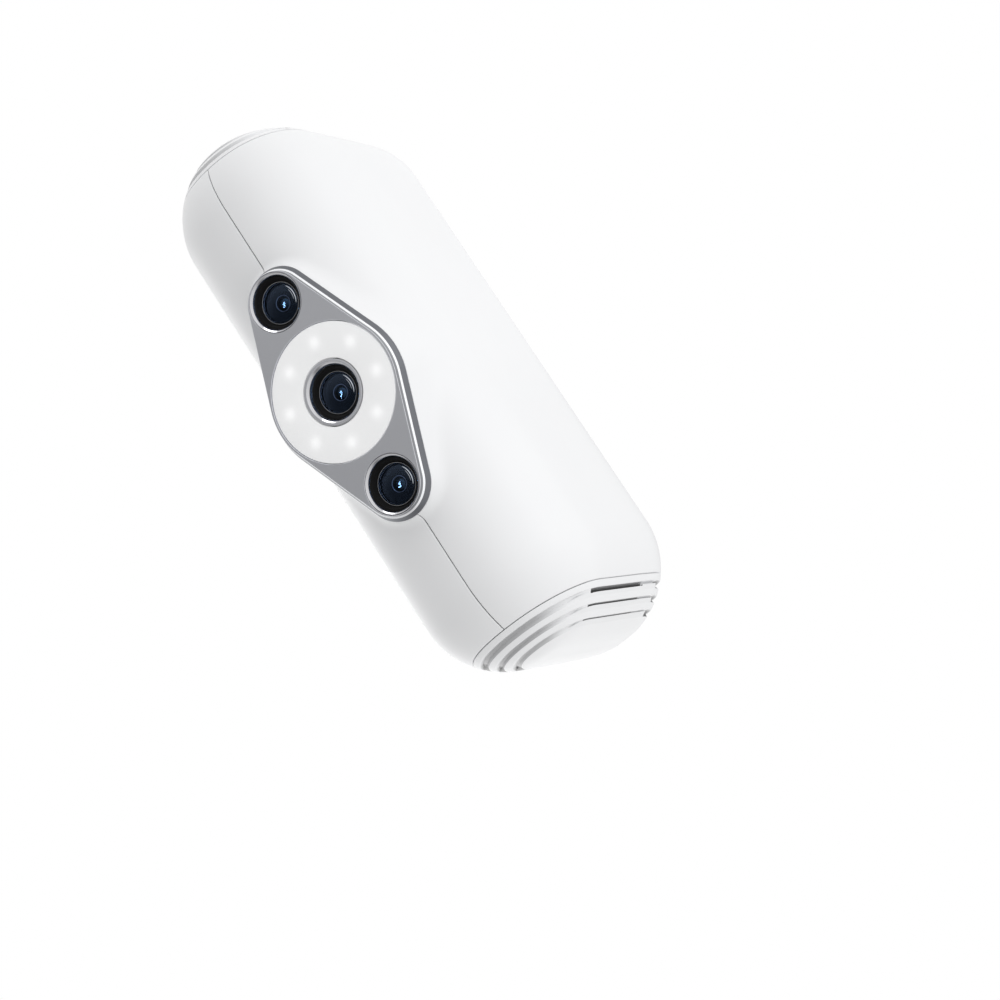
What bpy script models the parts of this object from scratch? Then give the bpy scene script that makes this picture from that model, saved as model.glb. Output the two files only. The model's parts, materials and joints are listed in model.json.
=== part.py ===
"""Handheld 3-D scanner: a white two-shell body with end caps and a three-lens front plate.

Metres, +Z up. The body stands on its lower end, its front plate faces -Y, and it parts on
the plane X = 0. Sizes below are millimetres; "depth" is measured back from the plate's face.
"""
import math

import bmesh
import bpy
from mathutils import Matrix, Vector

MM = 0.001
GAP = 0.3

# Body
LENGTH = 105.0
MIDDLE = LENGTH / 2
PLATE_Y = -24.8
AXIS_Y = -3.85
WALL = 1.8
FRONT_POWER = 2.17
BACK_POWER = 12.0
STRAIGHT_END = 38.0
CAP_JOINT = 47.0
SECTION_POINTS = 36
OUTER = {"length": 52.5, "side": 16.2, "front": 17.75, "back": 27.85,
         "side_in": 14.9, "front_in": 13.3, "back_in": 2.26}
INNER = {"length": 50.5, "side": OUTER["side"] - WALL, "front": OUTER["front"] - WALL,
         "back": OUTER["back"] - WALL, "side_in": 13.1, "front_in": 11.5, "back_in": 1.0}
BACK_Y = AXIS_Y + OUTER["back"]
INSIDE_BACK_Y = BACK_Y - WALL

# End caps
# Each groove: where its ledge cuts in, the top of its slot, and where its flare ends
GROOVES = ((47.95, 48.35, 49.0), (49.7, 49.95, 50.45), (51.05, 51.2, 51.65))
GROOVE_DEPTH = 0.75
VENTS = (("through", -7.4, 13.2), ("through", -7.2, 14.2), ("blind", -6.8, 15.2))

# Front plate: the hull of one large circle and two small ones
PLATE_CIRCLE = 12.35
TIP_CIRCLE = 5.75
TIP_SPACING = 18.0
# The plate's edge from back to front, as (inset, depth): a flared wall, a step and a lip
PLATE_EDGE = ((-0.6, 1.88), (-0.12, 0.95), (0.22, 0.74), (0.3, 0.0))
HUMP_FACE = 2.18
HUMP_BACK = 15.0
HUMP_OUTSET = 0.62
HUMP_SPREAD = (0.12, 0.22)
# The opening behind the plate, as (inset, depth): a rebate for the gasket, then the way in
APERTURE = ((-0.1, -1.0), (-0.1, 2.65), (0.75, 2.65), (0.75, 12.0))
GASKET = (0.05, 0.4, 2.0, 2.5)

# Ring light and lenses
RING_OUT, RING_IN = 11.53, 5.6
RING_DEPTH = (0.1, 1.6)
LED_CIRCLE = 8.8
LED_COUNT = 8
LED_PHASE = math.radians(-13.0)
LENS_SPACING = 18.33
LENSES = (("upper", LENS_SPACING, 4.9), ("centre", 0.0, 5.45), ("lower", -LENS_SPACING, 4.9))
LENS_BORE = 4.37
BARREL_RADIUS = 4.2
GLASS_RADIUS = 3.4
PUPIL_RADIUS = 1.3

# Inner frame, boards and the parts at the back and the lower end
BENCH = {"depth": (9.6, 12.1), "half_width": 9.6, "half_length": 27.6}
BENCH_SCREWS = (7.8, 25.2)
BOARD_POSTS = (7.6, 9.2)
BOARD_Y = (-4.5, -3.3)
FRAME_REACH = (44.6, 46.2)
FRAME_SCREWS = (7.0, 20.0)
HOOK_X, HOOK_Y = 9.2, 5.0
BUTTON_RADIUS = 5.0
BUTTON_PROUD = 0.8
BUTTON_Z = 60.0
PIPE_Z = 71.0
INSERT_Y = 3.0
INSERT_RADIUS, INSERT_FLANGE = 4.2, 5.2
THREAD_RADIUS = 3.175
USB_Y = 15.5

FINISH = {
    "shell": ((0.86, 0.87, 0.88), 0.28, 0.0),
    "black_plastic": ((0.02, 0.02, 0.022), 0.5, 0.0),
    "plate": ((0.32, 0.33, 0.36), 0.36, 1.0),
    "chrome": ((0.78, 0.79, 0.81), 0.12, 1.0),
    "diffuser": ((0.83, 0.84, 0.85), 0.45, 0.0),
    "rubber": ((0.03, 0.03, 0.03), 0.75, 0.0),
    "glass": ((0.02, 0.03, 0.06), 0.04, 0.0),
    "bench": ((0.62, 0.63, 0.65), 0.4, 1.0),
    "board": ((0.02, 0.12, 0.06), 0.5, 0.0),
    "led": ((0.95, 0.93, 0.8), 0.4, 0.0),
    "chip": ((0.04, 0.04, 0.045), 0.4, 0.0),
    "steel": ((0.55, 0.55, 0.56), 0.3, 1.0),
    "brass": ((0.72, 0.55, 0.26), 0.3, 1.0),
    "light_pipe": ((0.8, 0.83, 0.85), 0.2, 0.0),
}


def clear_scene():
    for obj in list(bpy.data.objects):
        bpy.data.objects.remove(obj, do_unlink=True)


def finish(slot):
    """The material of one finish, made the first time it is asked for."""
    if slot in bpy.data.materials:
        return bpy.data.materials[slot]
    colour, roughness, metallic = FINISH[slot]
    made = bpy.data.materials.new(slot)
    made.use_nodes = True
    shader = made.node_tree.nodes["Principled BSDF"]
    shader.inputs["Base Color"].default_value = (*colour, 1.0)
    shader.inputs["Roughness"].default_value = roughness
    shader.inputs["Metallic"].default_value = metallic
    return made


# Shapes

def solid(name, points, faces, slot):
    """One object from points in millimetres, its faces turned outwards."""
    mesh = bpy.data.meshes.new(name)
    mesh.from_pydata([Vector(point) * MM for point in points], [], faces)
    work = bmesh.new()
    work.from_mesh(mesh)
    bmesh.ops.recalc_face_normals(work, faces=work.faces)
    work.to_mesh(mesh)
    work.free()
    if slot:
        mesh.materials.append(finish(slot))
        mesh.shade_smooth()
        mesh.set_sharp_from_angle(angle=math.radians(32))
    obj = bpy.data.objects.new(name, mesh)
    bpy.context.collection.objects.link(obj)
    return obj


def loft(name, rings, slot=None, closed=False):
    """Skins rings of equal point count: a capped body, or a closed hoop of rings."""
    count = len(rings[0])
    points = [point for ring in rings for point in ring]
    faces = []
    for low in range(len(rings) if closed else len(rings) - 1):
        high = (low + 1) % len(rings)
        for k in range(count):
            after = (k + 1) % count
            faces.append((low * count + k, low * count + after,
                          high * count + after, high * count + k))
    if not closed:
        faces.append(tuple(range(count)))
        faces.append(tuple((len(rings) - 1) * count + k for k in range(count)))
    return solid(name, points, faces, slot)


def turned(name, profile, height, slot=None, segments=24, tube=False):
    """A profile of (radius, depth) points turned about the optical axis at this height."""
    rings = []
    for radius, depth in profile:
        rings.append([(radius * math.cos(math.tau * k / segments), PLATE_Y + depth,
                       height + radius * math.sin(math.tau * k / segments))
                      for k in range(segments)])
    return loft(name, rings, slot, closed=tube)


def prism(name, outline, low, high, slot=None, axis="Y"):
    """A flat outline pushed along an axis; its two sizes lie on the other two axes in order."""
    place = {"X": lambda a, b, t: (t, a, b), "Y": lambda a, b, t: (a, t, b),
             "Z": lambda a, b, t: (a, b, t)}[axis]
    rings = [[place(a, b, t) for a, b in outline] for t in (low, high)]
    return loft(name, rings, slot)


def box(name, low, high, slot=None):
    outline = [(low[0], low[2]), (high[0], low[2]), (high[0], high[2]), (low[0], high[2])]
    return prism(name, outline, low[1], high[1], slot)


def circle(radius, centre=(0.0, 0.0), points=24):
    return [(centre[0] + radius * math.cos(math.tau * k / points),
             centre[1] + radius * math.sin(math.tau * k / points)) for k in range(points)]


def round_box(half_a, half_b, radius, centre=(0.0, 0.0), steps=4):
    """A rectangle with round corners."""
    outline = []
    for quarter, (side_a, side_b) in enumerate(((1, 1), (-1, 1), (-1, -1), (1, -1))):
        for step in range(steps + 1):
            angle = math.radians(90 * (quarter + step / steps))
            outline.append((centre[0] + side_a * (half_a - radius) + radius * math.cos(angle),
                            centre[1] + side_b * (half_b - radius) + radius * math.sin(angle)))
    return outline


def helper(obj):
    obj.hide_render = True
    obj.display_type = "WIRE"
    return obj


def combine(target, tool, operation):
    modifier = target.modifiers.new(f"{operation.lower()} {tool.name}", "BOOLEAN")
    modifier.operation = operation
    modifier.solver = "EXACT"
    modifier.object = helper(tool)


def cut(target, *tools):
    for tool in tools:
        combine(target, tool, "DIFFERENCE")


def join(target, *tools):
    for tool in tools:
        combine(target, tool, "UNION")


# The body's skin

def end_curve(height, skin):
    """0 along the straight middle, rising as a quarter circle to 1 at the end."""
    part = (abs(height) - STRAIGHT_END) / (skin["length"] - STRAIGHT_END)
    part = min(max(part, 0.0), 1.0)
    return 1.0 - math.sqrt(1.0 - part * part)


def section(height, skin, shrink=0.0):
    """The body's outline, this high above its middle: curved in front, square behind."""
    inset = end_curve(height, skin)
    half = skin["side"] - skin["side_in"] * inset - shrink
    front = skin["front"] - skin["front_in"] * inset - shrink
    back = skin["back"] - skin["back_in"] * inset - shrink
    ring = []
    for k in range(SECTION_POINTS):
        angle = math.tau * k / SECTION_POINTS
        reach, power = (back, BACK_POWER) if math.sin(angle) >= 0 else (front, FRONT_POWER)
        across, along = math.cos(angle), math.sin(angle)
        ring.append((math.copysign(abs(across) ** (2 / power), across) * half,
                     AXIS_Y + math.copysign(abs(along) ** (2 / power), along) * reach,
                     MIDDLE + height))
    return ring


def end_heights(skin, low, high, steps):
    """Heights that follow the end's quarter circle in even steps of angle."""
    reach = skin["length"] - STRAIGHT_END
    first = math.asin(min((low - STRAIGHT_END) / reach, 1.0))
    last = math.asin(min((high - STRAIGHT_END) / reach, 1.0))
    return [STRAIGHT_END + reach * math.sin(first + (last - first) * k / steps)
            for k in range(steps + 1)]


def make_cavity():
    tops = end_heights(INNER, STRAIGHT_END, INNER["length"], 5)
    heights = [-height for height in reversed(tops)] + tops
    return loft("body_cavity", [section(height, INNER) for height in heights])


def plate_outline(large, small, depth, tip_steps=12, side_steps=6):
    """The hull of the plate's three circles, at this depth."""
    lean = math.asin((large - small) / TIP_SPACING)
    outline = []
    for middle, radius, centre, spread, steps in (
            (0.0, large, 0.0, lean, side_steps),
            (math.pi / 2, small, TIP_SPACING, math.pi / 2 - lean, tip_steps),
            (math.pi, large, 0.0, lean, side_steps),
            (3 * math.pi / 2, small, -TIP_SPACING, math.pi / 2 - lean, tip_steps)):
        for step in range(steps + 1):
            angle = middle + spread * (2 * step / steps - 1)
            outline.append((radius * math.cos(angle), PLATE_Y + depth,
                            MIDDLE + centre + radius * math.sin(angle)))
    return outline


def inset_outline(inset, depth):
    return plate_outline(PLATE_CIRCLE - inset, TIP_CIRCLE - inset, depth)


def make_hump():
    """The raised seat under the plate, spreading towards the body."""
    rings = []
    for depth in (HUMP_FACE, HUMP_BACK):
        large, small = (HUMP_OUTSET + rate * (depth - HUMP_FACE) for rate in HUMP_SPREAD)
        rings.append(plate_outline(PLATE_CIRCLE + large, TIP_CIRCLE + small, depth))
    return loft("front_hump", rings)


def make_shells(cavity):
    """Two half shells, parted on X = 0, with the plate's seat, posts, bosses and openings."""
    hump = make_hump()
    aperture = loft("plate_aperture", [inset_outline(*edge) for edge in APERTURE])
    button_hole = prism("button_hole", circle(BUTTON_RADIUS + GAP, (0, BUTTON_Z)),
                        INSIDE_BACK_Y - 2, BACK_Y + 2)
    pipe_hole = prism("pipe_hole", circle(1.5, (0, PIPE_Z), 16), INSIDE_BACK_Y - 2, BACK_Y + 2)
    tops = end_heights(OUTER, STRAIGHT_END, CAP_JOINT - GAP / 2, 5)
    heights = [-height for height in reversed(tops)] + tops
    for name, side in (("left_shell", -1), ("right_shell", 1)):
        shell = loft(name, [section(height, OUTER) for height in heights], "shell")
        join(shell, hump)
        cut(shell, cavity, aperture, button_hole, pipe_hole)
        cut(shell, box(f"{name}_half", (GAP / 2 * side, -60, -20), (-60 * side, 60, 130)))
        for end in (-1, 1):
            post = prism(f"{name}_post_{end}", circle(
                2.0, (side * BENCH_SCREWS[0], MIDDLE + end * BENCH_SCREWS[1]), 16),
                PLATE_Y + 6.6, PLATE_Y + BENCH["depth"][0] - GAP)
            hole = prism(f"{name}_post_hole_{end}", circle(
                1.0, (side * BENCH_SCREWS[0], MIDDLE + end * BENCH_SCREWS[1]), 12),
                PLATE_Y + 7.2, PLATE_Y + 12.0)
            reach = sorted((MIDDLE + end * 38.0, MIDDLE + end * (FRAME_REACH[0] - GAP)))
            centre = (side * FRAME_SCREWS[0], FRAME_SCREWS[1])
            boss = prism(f"{name}_boss_{end}", circle(2.4, centre, 16), *reach, axis="Z")
            drill = sorted((MIDDLE + end * 39.5, MIDDLE + end * 50))
            boss_hole = prism(f"{name}_boss_hole_{end}", circle(1.1, centre, 12), *drill, axis="Z")
            join(shell, post, boss)
            cut(shell, hole, boss_hole)


# End caps and end frames

def make_cap(name, end, cavity):
    """A domed cap with three stepped grooves all round and vents on its flat sides."""
    profile = [(CAP_JOINT + GAP / 2, 0.0)]
    for low, high, flare in GROOVES:
        profile += [(low, 0.0), (low, GROOVE_DEPTH), (high, GROOVE_DEPTH), (flare, 0.0)]
    profile += [(height, 0.0) for height in end_heights(OUTER, flare, OUTER["length"], 4)[1:]]
    rings = [section(end * height, OUTER, shrink) for height, shrink in profile]
    cap = loft(name, rings, "shell")
    cut(cap, cavity)
    for side in (-1, 1):
        hook = box(f"{name}_hook_{side}", *corners(
            (side * (HOOK_X - 0.6), HOOK_Y - 3, MIDDLE + end * 43.2),
            (side * (HOOK_X + 0.6), HOOK_Y + 3, MIDDLE + end * 48.6)))
        barb = box(f"{name}_barb_{side}", *corners(
            (side * (HOOK_X + 0.3), HOOK_Y - 3, MIDDLE + end * 43.2),
            (side * (HOOK_X + 1.5), HOOK_Y + 3, MIDDLE + end * (FRAME_REACH[0] - GAP))))
        cap_cutters = []
        for number, ((low, high, _), (style, front, back)) in enumerate(zip(GROOVES, VENTS)):
            inner = 5.0 if style == "blind" else 1.5
            cap_cutters.append(box(f"{name}_vent_{side}_{number}", *corners(
                (side * inner, front, MIDDLE + end * (low + 0.02)),
                (side * 20, back, MIDDLE + end * (high - 0.02)))))
        join(cap, hook, barb)
        cut(cap, *cap_cutters)
    return cap


def corners(first, second):
    """The low and the high corner of the box between two points."""
    return (tuple(min(a, b) for a, b in zip(first, second)),
            tuple(max(a, b) for a, b in zip(first, second)))


def make_end_frame(name, end, extra_holes=()):
    """The black frame across each end: it ties the shells and catches the cap's hooks."""
    outline = section(end * max(FRAME_REACH), INNER, GAP)
    rings = [[(x, y, MIDDLE + end * reach) for x, y, _ in outline] for reach in FRAME_REACH]
    frame = loft(name, rings, "black_plastic")
    low, high = sorted(MIDDLE + end * reach for reach in (40.0, 50.0))
    for side in (-1, 1):
        centre = (side * FRAME_SCREWS[0], FRAME_SCREWS[1])
        cut(frame, prism(f"{name}_screw_hole_{side}", circle(1.3, centre, 16), low, high, axis="Z"))
        cut(frame, box(f"{name}_hook_slot_{side}", *corners(
            (side * (HOOK_X - 0.9), HOOK_Y - 3.3, low), (side * (HOOK_X + 1.1), HOOK_Y + 3.3, high))))
    for number, y in enumerate((-9.0, -5.5)):
        slot = round_box(5.5, 0.9, 0.85, (0, y), 3)
        cut(frame, prism(f"{name}_air_slot_{number}", slot, low, high, axis="Z"))
    cut(frame, *extra_holes)
    return frame


def make_lower_end(cavity):
    """The lower cap with the tripod insert and the socket, and the frame behind it."""
    cap = make_cap("bottom_cap", -1, cavity)
    boss = prism("insert_boss", circle(6.2, (0, INSERT_Y)), 1.6, 5.9, axis="Z")
    bore = prism("insert_bore", circle(INSERT_RADIUS + GAP, (0, INSERT_Y)), -1, 8, axis="Z")
    seat = prism("insert_seat", circle(INSERT_FLANGE + GAP, (0, INSERT_Y)), -1, 1.5, axis="Z")
    join(cap, boss)
    cut(cap, bore, seat)
    socket = round_box(2.0, 4.9, 1.95, (0, USB_Y), 5)
    cut(cap, prism("socket_hole", socket, -1, 4, axis="Z"))
    flange, body = INSERT_FLANGE, INSERT_RADIUS
    profile = [(flange, 0.0), (flange, 1.2), (body, 1.2), (body, 9.6), (THREAD_RADIUS, 9.6),
               (THREAD_RADIUS, 0.35), (THREAD_RADIUS + 0.35, 0.0)]
    rings = [[(x, y, height) for x, y in circle(radius, (0, INSERT_Y))]
             for radius, height in profile]
    loft("tripod_insert", rings, "brass", closed=True)
    insert_way = prism("insert_way", circle(body + GAP, (0, INSERT_Y), 24), 2, 12, axis="Z")
    socket_way = box("socket_way", (-2.1, USB_Y - 5.4, 2), (3.6, USB_Y + 5.4, 12))
    make_end_frame("bottom_end_frame", -1, (insert_way, socket_way))


def make_usb_port():
    """A metal socket shell with its tongue, and the small board that carries it."""
    shell = prism("usb_c_port", round_box(1.62, 4.5, 1.5, (0, USB_Y), 5), 0.3, 8.0,
                  "steel", axis="Z")
    mouth = prism("usb_mouth", round_box(1.28, 4.17, 1.2, (0, USB_Y), 5), -1, 6.6, axis="Z")
    tongue = box("usb_tongue", (-0.35, USB_Y - 3.35, 1.0), (0.35, USB_Y + 3.35, 7.2))
    cut(shell, mouth)
    join(shell, tongue)
    box("usb_board", (1.92, USB_Y - 5.0, 3.6), (2.92, USB_Y + 5.0, 16.0), "board")


# Front plate, ring light and lenses

def make_front_plate():
    plate = loft("front_plate", [inset_outline(*edge) for edge in PLATE_EDGE], "plate")
    for name, height, radius in LENSES:
        hole = RING_OUT + 0.15 if name == "centre" else radius + 0.1
        points = 40 if name == "centre" else 24
        cut(plate, prism(f"{name}_plate_hole", circle(hole, (0, MIDDLE + height), points),
                         PLATE_Y - 1, PLATE_Y + 4))
    wide, narrow, front, back = GASKET
    rings = [inset_outline(wide, front), inset_outline(wide, back),
             inset_outline(narrow, back), inset_outline(narrow, front)]
    loft("plate_gasket", rings, "rubber", closed=True)


def make_ring_light():
    front, back = RING_DEPTH
    profile = [(RING_OUT, back), (RING_OUT, front + 0.1), (RING_OUT - 0.1, front),
               (RING_IN + 0.1, front), (RING_IN, front + 0.1), (RING_IN, back)]
    turned("ring_diffuser", profile, MIDDLE, "diffuser", 40, tube=True)
    board = [(11.2, 3.7), (11.2, 4.7), (5.8, 4.7), (5.8, 3.7)]
    turned("led_board", board, MIDDLE, "board", 32, tube=True)
    for number in range(LED_COUNT):
        angle = LED_PHASE + math.tau * number / LED_COUNT
        x = LED_CIRCLE * math.cos(angle)
        z = MIDDLE + LED_CIRCLE * math.sin(angle)
        led = box(f"led_{number + 1}", (-0.8, -0.35, -0.8), (0.8, 0.35, 0.8), "led")
        led.location = Vector((x, PLATE_Y + 3.2, z)) * MM
        led.rotation_euler = (0, -angle, 0)


def make_lens(name, height, bezel_radius):
    """One camera: bezel, barrel, domed front glass, iris, inner lens and sensor board."""
    centre = MIDDLE + height
    lip = 4.92 if name == "centre" else 4.8
    cone = 1.05 if name == "centre" else 0.85
    bezel = [(bezel_radius, 2.4), (bezel_radius, 0.1), (bezel_radius - 0.08, 0.0), (lip, 0.0),
             (LENS_BORE, cone), (LENS_BORE, 2.4)]
    turned(f"{name}_bezel", bezel, centre, "chrome", tube=True)
    step = GLASS_RADIUS + 0.15
    barrel = [(BARREL_RADIUS, 12.0), (BARREL_RADIUS, cone + 0.1), (BARREL_RADIUS - 0.15, cone + 0.05),
              (step + 0.15, 1.8), (step, 1.9), (step, 4.6), (2.2, 4.6), (2.2, 12.0)]
    turned(f"{name}_lens_barrel", barrel, centre, "black_plastic", tube=True)
    dome = [(GLASS_RADIUS * math.sin(part), 1.5 + 0.4 * (1 - math.cos(part)))
            for part in (0.05, 0.5, 1.0)]
    glass = dome + [(GLASS_RADIUS, 1.95), (GLASS_RADIUS, 2.3)]
    turned(f"{name}_front_glass", glass, centre, "glass")
    iris = [(GLASS_RADIUS, 2.5), (PUPIL_RADIUS, 3.0), (PUPIL_RADIUS, 3.4), (GLASS_RADIUS, 2.9)]
    turned(f"{name}_iris", iris, centre, "black_plastic", 20, tube=True)
    inner = [(0.2, 3.55), (0.9, 3.64), (1.6, 3.9), (1.6, 4.3)]
    turned(f"{name}_inner_lens", inner, centre, "glass", 16)
    box(f"{name}_camera_board", (-6.0, PLATE_Y + 12.4, centre - 6.0),
        (6.0, PLATE_Y + 13.4, centre + 6.0), "board")


# Inner parts

def screw(name, x, z, head_y, length):
    """A small pan-head screw along Y: its head at head_y, its shank forward of it."""
    profile = [(0.75, 0.0), (0.75, length), (1.45, length), (1.45, length + 0.7),
               (1.15, length + 1.0), (0.5, length + 1.0), (0.5, length + 0.5)]
    rings = [[(x + a, head_y - length + along, z + b) for a, b in circle(radius, points=10)]
             for radius, along in profile]
    return loft(name, rings, "steel")


def make_bench():
    """The aluminium bench that holds the three barrels, and its posts for the main board."""
    front, back = (PLATE_Y + depth for depth in BENCH["depth"])
    outline = round_box(BENCH["half_width"], BENCH["half_length"], 3.0, (0, MIDDLE))
    bench = prism("optical_bench", outline, front, back, "bench")
    for name, height, _ in LENSES:
        cut(bench, prism(f"{name}_bench_hole", circle(BARREL_RADIUS + 0.2, (0, MIDDLE + height)),
                         front - 1, back + 1))
    spots = [(side, end) for side in (-1, 1) for end in (-1, 1)]
    for number, (side, end) in enumerate(spots, 1):
        x, z = side * BOARD_POSTS[0], MIDDLE + end * BOARD_POSTS[1]
        join(bench, prism(f"bench_post_{number}", circle(1.6, (x, z), 12),
                          back - 0.8, BOARD_Y[0] - GAP))
        cut(bench, prism(f"bench_post_hole_{number}", circle(1.0, (x, z), 12),
                         BOARD_Y[0] - 4.5, BOARD_Y[0] + 1))
        screw(f"board_screw_{number}", x, z, BOARD_Y[1] + 0.2, 5.0)
        x, z = side * BENCH_SCREWS[0], MIDDLE + end * BENCH_SCREWS[1]
        cut(bench, prism(f"bench_screw_hole_{number}", circle(1.0, (x, z), 12), front - 1, back + 1))
        screw(f"bench_screw_{number}", x, z, back + 0.2, 4.6)


def make_electronics():
    """Main board, processor, finned heat sink, and the switch board behind the button."""
    front, back = BOARD_Y
    board = prism("main_board", round_box(12.0, 38.0, 1.5, (0, MIDDLE), 2), front, back, "board")
    for side in (-1, 1):
        for end in (-1, 1):
            centre = (side * BOARD_POSTS[0], MIDDLE + end * BOARD_POSTS[1])
            cut(board, prism(f"board_hole_{side}_{end}", circle(1.0, centre, 12),
                             front - 1, back + 1))
    prism("processor", round_box(6.0, 6.0, 0.4, (0, MIDDLE), 1), back + 0.15, back + 1.3, "chip")
    fins, pitch, thick, base, height = 7, 3.4, 1.0, 1.6, 7.5
    half = (fins - 1) * pitch / 2 + thick / 2
    start = back + 1.5
    comb = [(-half, start), (half, start)]
    for fin in reversed(range(fins)):
        x = (fin - (fins - 1) / 2) * pitch
        comb += [(x + thick / 2, start + height), (x - thick / 2, start + height)]
        if fin:
            comb += [(x - thick / 2, start + base), (x - pitch + thick / 2, start + base)]
    sink = prism("heat_sink", comb, MIDDLE - 22, MIDDLE + 22, "bench", axis="Z")
    for side in (-1, 1):
        for end in (-1, 1):
            notch = box(f"sink_notch_{side}_{end}", *corners(
                (side * 5.2, start - 1, MIDDLE + end * 7.0),
                (side * 13.0, start + height + 1, MIDDLE + end * 11.6)))
            cut(sink, notch)
    box("button_board", (-6.0, 15.6, BUTTON_Z - 7.0), (6.0, 16.6, PIPE_Z + 4.0), "board")
    switch_top = INSIDE_BACK_Y - 2.1
    switch = box("button_switch", (-3.0, 16.8, BUTTON_Z - 3.0),
                 (3.0, switch_top - 0.8, BUTTON_Z + 3.0), "chip")
    join(switch, prism("switch_plunger", circle(1.5, (0, BUTTON_Z), 16),
                       switch_top - 1.2, switch_top))
    rings = [[(a, y, PIPE_Z + b) for a, b in circle(radius, points=16)]
             for radius, y in ((1.2, 16.9), (1.2, BACK_Y - 0.15), (1.05, BACK_Y))]
    loft("status_light_pipe", rings, "light_pipe")


def make_button():
    """The round button in the back, with its flange behind the wall; it slides along Y."""
    face = BACK_Y + BUTTON_PROUD
    flange = INSIDE_BACK_Y - 0.4
    profile = [(BUTTON_RADIUS + 1.1, flange - 0.9), (BUTTON_RADIUS + 1.1, flange),
               (BUTTON_RADIUS, flange), (BUTTON_RADIUS, face - 0.4),
               (BUTTON_RADIUS - 0.4, face), (0.1, face - 0.25)]
    rings = [[(a, y - BACK_Y, b) for a, b in circle(radius)] for radius, y in profile]
    button = loft("power_button", rings, "shell")
    button.location = Vector((0, BACK_Y, BUTTON_Z)) * MM


def make_frame_screws():
    """Four screws along Z that pull the end frames onto the shells' bosses."""
    number = 0
    for end in (-1, 1):
        for side in (-1, 1):
            number += 1
            made = screw(f"frame_screw_{number}", 0.0, 0.0, 0.0, 5.6)
            seat = MIDDLE + end * (FRAME_REACH[1] + 0.2)
            turn = Matrix.Rotation(math.radians(90 * end), 4, "X")
            place = Matrix.Translation(Vector((side * FRAME_SCREWS[0], FRAME_SCREWS[1], seat)) * MM)
            made.matrix_world = place @ turn


def build():
    clear_scene()
    cavity = make_cavity()
    make_shells(cavity)
    make_cap("top_cap", 1, cavity)
    make_lower_end(cavity)
    make_end_frame("top_end_frame", 1)
    make_usb_port()
    make_front_plate()
    make_ring_light()
    for name, height, bezel_radius in LENSES:
        make_lens(name, height, bezel_radius)
    make_bench()
    make_electronics()
    make_button()
    make_frame_screws()


build()
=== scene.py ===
import json
import math
import bmesh
import bpy
import numpy as np
from mathutils import Matrix, Vector

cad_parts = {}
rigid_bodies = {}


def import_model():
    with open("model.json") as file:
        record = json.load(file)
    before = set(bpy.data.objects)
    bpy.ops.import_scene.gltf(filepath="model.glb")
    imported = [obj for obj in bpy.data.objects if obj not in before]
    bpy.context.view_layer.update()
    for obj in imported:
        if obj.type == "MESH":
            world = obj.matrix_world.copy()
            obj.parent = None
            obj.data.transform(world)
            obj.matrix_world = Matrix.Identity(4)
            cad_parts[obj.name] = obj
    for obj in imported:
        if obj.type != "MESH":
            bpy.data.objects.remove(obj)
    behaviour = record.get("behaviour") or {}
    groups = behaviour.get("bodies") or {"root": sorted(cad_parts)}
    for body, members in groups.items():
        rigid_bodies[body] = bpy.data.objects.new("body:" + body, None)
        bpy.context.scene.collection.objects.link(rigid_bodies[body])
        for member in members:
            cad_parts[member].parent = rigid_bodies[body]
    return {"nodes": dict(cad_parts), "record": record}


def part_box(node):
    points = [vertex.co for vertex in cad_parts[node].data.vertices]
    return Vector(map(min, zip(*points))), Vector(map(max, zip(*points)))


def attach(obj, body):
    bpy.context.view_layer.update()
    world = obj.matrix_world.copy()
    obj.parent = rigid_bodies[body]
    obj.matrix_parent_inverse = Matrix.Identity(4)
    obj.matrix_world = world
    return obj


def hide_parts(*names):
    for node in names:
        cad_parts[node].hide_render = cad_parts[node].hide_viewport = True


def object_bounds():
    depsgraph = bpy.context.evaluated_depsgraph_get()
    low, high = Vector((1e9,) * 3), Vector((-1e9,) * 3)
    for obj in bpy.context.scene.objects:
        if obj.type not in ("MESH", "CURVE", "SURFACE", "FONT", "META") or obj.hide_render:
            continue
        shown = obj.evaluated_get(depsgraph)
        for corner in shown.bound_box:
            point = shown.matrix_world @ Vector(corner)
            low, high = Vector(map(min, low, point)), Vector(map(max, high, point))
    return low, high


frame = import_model()
cad_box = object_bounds()

# Everything below is in millimetres until a mesh is made.
MM = 0.001
FINE = 1.0


def in_mm(node):
    """A CAD node's lowest and highest corner in millimetres."""
    low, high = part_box(node)
    return [value / MM for value in low], [value / MM for value in high]


def middle_of(node):
    low, high = in_mm(node)
    return [(a + b) / 2 for a, b in zip(low, high)]


# Places read from the frame
PLATE_Y = in_mm("front_plate")[0][1]
CENTRE_Z = middle_of("front_plate")[2]
HALF_LENGTH = cad_box[1][2] / MM / 2
HALF_WIDTH = cad_box[1][0] / MM
BACK_Y = in_mm("right_shell")[1][1]
LENSES = {name: middle_of(f"{name}_bezel")[2] for name in ("upper", "centre", "lower")}
BUTTON_Z = middle_of("power_button")[2]
PIPE_Z = middle_of("status_light_pipe")[2]
INSERT_Y = middle_of("tripod_insert")[1]
USB_Y = middle_of("usb_c_port")[1]

# The body's skin: a superellipse section that closes in a quarter circle at each end
AXIS_Y = PLATE_Y + 20.95
FRONT_REACH = 17.75
FRONT_POWER, BACK_POWER = 2.17, 12.0
STRAIGHT_END = 38.0
CAP_JOINT = 47.0
WALL, END_WALL = 1.8, 2.0
OUTER = {"length": HALF_LENGTH, "side": HALF_WIDTH, "front": FRONT_REACH,
         "back": BACK_Y - AXIS_Y, "side_in": 14.9, "front_in": 13.3, "back_in": 2.26}
INNER = {"length": HALF_LENGTH - END_WALL, "side": HALF_WIDTH - WALL, "front": FRONT_REACH - WALL,
         "back": BACK_Y - AXIS_Y - WALL, "side_in": 13.1, "front_in": 11.5, "back_in": 1.0}

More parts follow.
